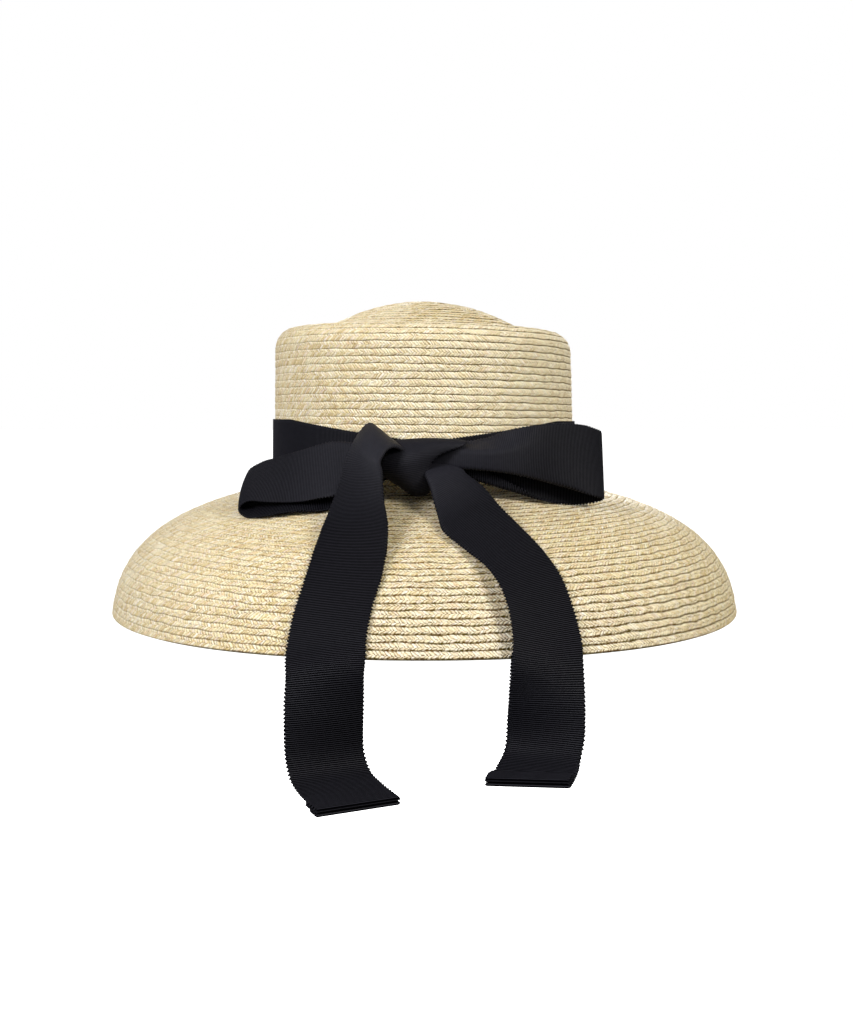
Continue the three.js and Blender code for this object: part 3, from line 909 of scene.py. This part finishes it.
def makeBand():
    around = fullTurn * (head["halfWidth"] + head["ovalExtra"] / 2)
    ribs = round(around / ribbon["ribPitch"])
    steps = ribs * ribbon["ribSteps"]
    turn = np.linspace(0, fullTurn, steps, endpoint=False)
    fromFront = np.arctan2(np.sin(turn), np.cos(turn))
    gather = np.exp(-(fromFront / band["gather"]) ** 2)
    low = band["foot"] + band["lift"] * gather
    sloped = np.clip(1 - np.abs(fromFront) / band["slopes"], 0, 1) ** band["slopeCurve"]
    high = band["foot"] + ribbon["width"] - band["dip"] * sloped
    ribPhase = np.arange(steps) / ribbon["ribSteps"]
    scallop = selvedge(ribPhase)
    side = acrossRibbon(band["columns"])[::-1]
    height = (low + high)[:, None] / 2 + (high - low)[:, None] / 2 * side
    height[:, 0] += scallop
    height[:, -1] -= scallop
    taper = (crown["wallTop"] - head["halfWidth"]) / (crown["rimHeight"] - crown["shoulder"])
    wall = head["halfWidth"] + taper * height
    pleat = 0.5 - 0.5 * np.cos(math.pi * band["pleats"] * (side + 1))
    reach = wall + band["gap"] + ribbon["thick"] / 2 + band["pleatDepth"] * gather[:, None] * pleat
    x = reach * np.sin(turn)[:, None]
    y = -(reach + head["ovalExtra"]) * np.cos(turn)[:, None]
    points = leanCrown(np.stack([x, y, height], 2).reshape(-1, 3))
    sheet = points.reshape(steps, len(side), 3)
    relief = np.full(steps, band["relief"])
    weave("band_ribbon", "band", sheet, ribPhase, relief, goesRound=True)


makeBand()

# Bow. Each row of a table: x, y, z of the middle (mm), slant and turn of the width in degrees, spread as a
# share of the width, bulge (mm). relief: share of the way along, share of the full rib relief and of its
# painted shade.
# most relief on the back ply, whose painted shade between ribs darkens the inside of each loop
loopReliefAndShade = [(0, 0.2), (0.2, 0.35), (0.35, 0.7), (0.55, 0.75), (0.6, 1), (1, 1)]
turnedEnd = {
    "length": 8.5,
    "radius": 0.55,
    "layers": 3,
    "rawEnd": 2 / 3,  # share of the last layer, where the cloth ends out of sight
}

knot = {
    "rows": [
        (3, -99.1, 27.6, 0, 0, 0.9, 0.4),
        (2.7, -106.5, 28.6, 0, 0, 0.98, 1.2),
        (1.5, -112, 26, 2, 0, 0.95, 2.4),
        (-6.5, -114.5, 20.5, 6, 4, 0.74, 3.5),
        (-9.5, -114.2, 13.5, 8, 6, 0.6, 3.6),
        (-3.6, -112, 5.2, 10, 2, 0.37, 2),
        (-2, -108.6, 0.8, 6, 0, 0.2, 1),
        (-2.4, -102, 1.6, 0, 0, 0.16, 0.4),
    ],
    "columns": 41,
    # this share also darkens the knot with painted shade between its ribs
    "relief": [(0, 0.5), (1, 0.5)],
    "held": "gathered",
    "restsOn": ["band_ribbon"],
}

loopRight = {
    "rows": [
        (4, -107, 22, 90, 0, 0.3, 0),
        (18.5, -111, 21.5, 90, 0, 0.31, 0.3),
        (34, -112.5, 22, 90, 0, 0.39, 0.5),
        (48, -110.5, 23.2, 90, 0, 0.56, 0.7),
        (62, -105.5, 22.7, 90, 0, 0.71, 1),
        (80, -96, 20.5, 90.5, -10, 0.86, 0.8),
        (92.5, -88.5, 16.8, 91, -16, 0.98, 0.3),
        (97.4, -82.5, 15, 90, -20, 0.97, 0),
        (93, -78.6, 13, 92, -15, 0.98, 0),
        (82, -82.5, 12.4, 91, -9, 0.98, 0),
        (62, -92.5, 14.5, 90, -6, 0.86, 0),
        (42, -101, 16, 90, -2, 0.6, 0),
        (19, -103.8, 17.6, 90, 0, 0.32, 0),
    ],
    "columns": 41,
    "relief": loopReliefAndShade,
    "folds": [{  # path: place across the ribbon, from -1 to 1
        "from": 0.0,
        "to": 0.34,
        "early": 0.8,
        "path": [0.9, 0.5, 0.2, 0.1, 0.2, 0.5],
        "width": 0.1,
        "lean": 13,
    }],
    "held": "folded",
    "restsOn": ["knot_ribbon", "brim_braid"],
}

loopLeft = {
    "rows": [
        (-4, -107, 17.4, 90, -4, 0.26, 0),
        (-14, -111, 18, 90, -10, 0.27, 0),
        (-30, -107.5, 17.3, 90, -30, 0.52, 0),
        (-49, -102.5, 14.2, 90, -41, 0.92, 0),
        (-66.5, -96, 9.9, 92, -46, 1, 0),
        (-82, -86.5, 7.4, 86, -53, 1, 0.4),
        (-93, -79, 6, 80, -58, 1, 0.8),
        (-100, -75.8, 0.9, 88, -61, 1, 1.2),
        (-94.5, -80.8, -4.3, 80, -65, 1, 0.8),
        (-84, -88, -4.2, 82, -68, 1, 0),
        (-68, -94.5, 0.6, 86, -62, 1, 0),
        (-48, -99, 6.4, 90, -42, 0.88, 0),
        (-29, -103, 13, 90, -26, 0.52, 0),
        (-15, -103.6, 17.4, 90, -8, 0.26, 0),
    ],
    "outward": -1,  # bulges to the other side of the strip
    "columns": 41,
    "relief": loopReliefAndShade,
    "held": "folded",
    "restsOn": ["knot_ribbon", "brim_braid"],
}

tailLeft = {
    "rows": [
        (-9.5, -106, 23, -25, 70, 0.34, 0),
        (-17.2, -110.3, 29.2, -38, 64, 0.5, 0.6),
        (-24.4, -115.5, 31.2, -57, 53, 0.69, 1.6),
        (-30.3, -119, 23.2, -33, 54, 0.73, 2.4),
        (-32.5, -123, 12, 3, 47, 0.77, 2.4),
        (-33.6, -133, -0.9, 3, 36, 0.81, 2),
        (-34.6, -149.5, -14.5, 2, 22, 0.89, 1.2),
        (-38.6, -171, -35, 4, 10, 0.96, 0.6),
        (-42.6, -183, -48.6, 6, 9, 0.98, 0.4),
        (-45, -194.2, -62.9, 8, 9, 0.99, 0.3),
        (-44.8, -203.4, -75, 6, 3, 0.88, 1.2),
        (-44.7, -206, -92, 3, -15, 0.89, 1.2),
        (-44.6, -206, -111, 0, -24, 0.93, 0.5),
        (-42, -210, -120.2, 0, -24, 1, 0),
        (-36.2, -218.5, -124.4, 2, -22, 1, 0),
        (-28.6, -229, -127, 2, -21, 1, 0),
    ],
    "columns": 31,
    "relief": [(0, 0.1), (0.2, 0.12), (0.3, 0.7), (0.4, 1), (1, 1)],
    "hem": {**turnedEnd, "side": 1},
    "held": "draped",
    "restsOn": ["knot_ribbon", "brim_braid"],
}

tailRight = {
    "rows": [
        (6, -106, 17, 14, -26, 0.36, 0),
        (10.2, -112.8, 14, 14, -30, 0.5, 0.8),
        (13.4, -118.6, 8.6, 18, -34, 0.57, 1.5),
        (18.8, -125, 0, 27, -34, 0.77, 2),
        (25, -137, -10, 22, -34, 0.91, 1.6),
        (34.8, -149, -18.2, 18, -37, 0.91, 1),
        (45.2, -163.6, -27.2, 11, -39, 0.9, 0.8),
        (51.8, -176, -38.4, 7, -38, 0.98, 0.6),
        (55.4, -185.6, -50.6, 5, -35, 0.99, 0.5),
        (56.9, -194, -62.4, 3, -29, 0.97, 0.6),
        (57, -201, -74, 0, -16, 0.86, 1.2),
        (56.2, -204, -87.5, -1, 6, 0.84, 1.4),
        (55.2, -205, -102.5, 0, 22, 0.9, 0.8),
        (53.3, -208.5, -111.4, 1, 26, 0.9, 0.2),
        (49.7, -217, -116.6, 3, 24, 0.96, 0),
        (45.2, -229, -119.4, 5, 21, 1, 0),
    ],
    "columns": 31,
    "relief": [(0, 0.1), (0.1, 0.2), (0.25, 0.9), (1, 1)],
    "hem": {**turnedEnd, "side": -1},
    "held": "draped",
    "restsOn": ["knot_ribbon", "brim_braid"],
}

layRibbon("knot_ribbon", "knot", knot)
layRibbon("loop_right_ribbon", "bow_loop_right", loopRight)
layRibbon("loop_left_ribbon", "bow_loop_left", loopLeft)
layRibbon("tail_left_ribbon", "tail_left", tailLeft)
layRibbon("tail_right_ribbon", "tail_right", tailRight)

# Studio: pale floor well below the hat, white surround, soft lights from both sides and behind
studio = {
    "floorDrop": 0.42,  # m below the tails
    "floorSize": 120.0,
    "floorTone": 0.8,
    "floorGlow": 1.0,
    "bounce": 0.16,  # tone of the floor as the hat sees it
    "surround": 0.38,  # strength of the surround on the hat, and as it is seen
    "surroundSeen": 1.0,
    "lights": [  # name, place (m), size (m), watts, colour
        ("left", (-1.12, -1.15, 0.8), 0.7, 28, (1.0, 1.0, 1.04)),
        ("right", (1.1, -1.15, 0.8), 0.5, 23.5, (1.0, 0.98, 0.9)),
        ("back", (0.1, 1.6, 0.2), 0.9, 22, (1.0, 1.0, 1.0)),
    ],
    "aim": (0.0, -0.06, 0.02),  # where the lights point
}


def grey(tone):
    return (tone, tone, tone, 1)


def makeFloor():
    low = cadBox[0][2] - studio["floorDrop"]
    half = studio["floorSize"] / 2
    corners = [(-half, -half, low), (half, -half, low), (half, half, low), (-half, half, low)]
    mesh = bpy.data.meshes.new("floor")
    mesh.from_pydata(corners, [], [(0, 1, 2, 3)])
    floor = bpy.data.objects.new("floor", mesh)
    bpy.context.scene.collection.objects.link(floor)
    material, start = newMaterial("floor")
    seen = start.node("LightPath", out="Is Camera Ray")
    pale = start.node("BsdfDiffuse", {}, {"Color": grey(studio["floorTone"])})
    glow = start.node("Emission", {}, {"Color": grey(1), "Strength": studio["floorGlow"]})
    white = start.node("AddShader", {}, {0: pale, 1: glow})
    dim = start.node("BsdfDiffuse", {}, {"Color": grey(studio["bounce"])})
    shader = start.node("MixShader", {}, {0: seen, 1: dim, 2: white})
    start.node("OutputMaterial", {}, {"Surface": shader})
    mesh.materials.append(material)


def makeSurround():
    world = bpy.data.worlds.new("surround")
    world.use_nodes = True
    world.node_tree.nodes.clear()
    bpy.context.scene.world = world
    start = Wire(world.node_tree)
    seen = start.node("LightPath", out="Is Camera Ray")
    lit = start.node("Background", {}, {"Color": grey(1), "Strength": studio["surround"]})
    white = start.node("Background", {}, {"Color": grey(1), "Strength": studio["surroundSeen"]})
    shader = start.node("MixShader", {}, {0: seen, 1: lit, 2: white})
    start.node("OutputWorld", {}, {"Surface": shader})


def makeLights():
    for name, place, size, watts, colour in studio["lights"]:
        light = bpy.data.lights.new(name, "AREA")
        light.energy = watts
        light.size = size
        light.color = colour
        lamp = bpy.data.objects.new(name, light)
        lamp.location = place
        x, y, z = np.array(studio["aim"]) - np.array(place)
        lamp.rotation_euler = (math.atan2(math.hypot(x, y), -z), 0, math.atan2(-x, y))
        bpy.context.scene.collection.objects.link(lamp)
    bpy.context.scene.view_settings.view_transform = "Standard"


# Camera at the photograph's height, a little to the right of the middle and looking slightly down
viewpoint = {
    "place": (0.0012, -0.750, 0.0406),
    "pitch": 4.4,  # degrees down
    "focalPixels": 1220,  # focal length in a picture this tall
    "tallPixels": 1024,
    "sensor": 36.0,
}


def makeCamera():
    lens = bpy.data.cameras.new("camera")
    lens.sensor_width = viewpoint["sensor"]
    lens.lens = viewpoint["focalPixels"] * viewpoint["sensor"] / viewpoint["tallPixels"]
    camera = bpy.data.objects.new("camera", lens)
    camera.location = viewpoint["place"]
    camera.rotation_euler = (math.radians(90 - viewpoint["pitch"]), 0, 0)
    bpy.context.scene.collection.objects.link(camera)
    bpy.context.scene.camera = camera


makeFloor()
makeSurround()
makeLights()
makeCamera()
print("studio set")
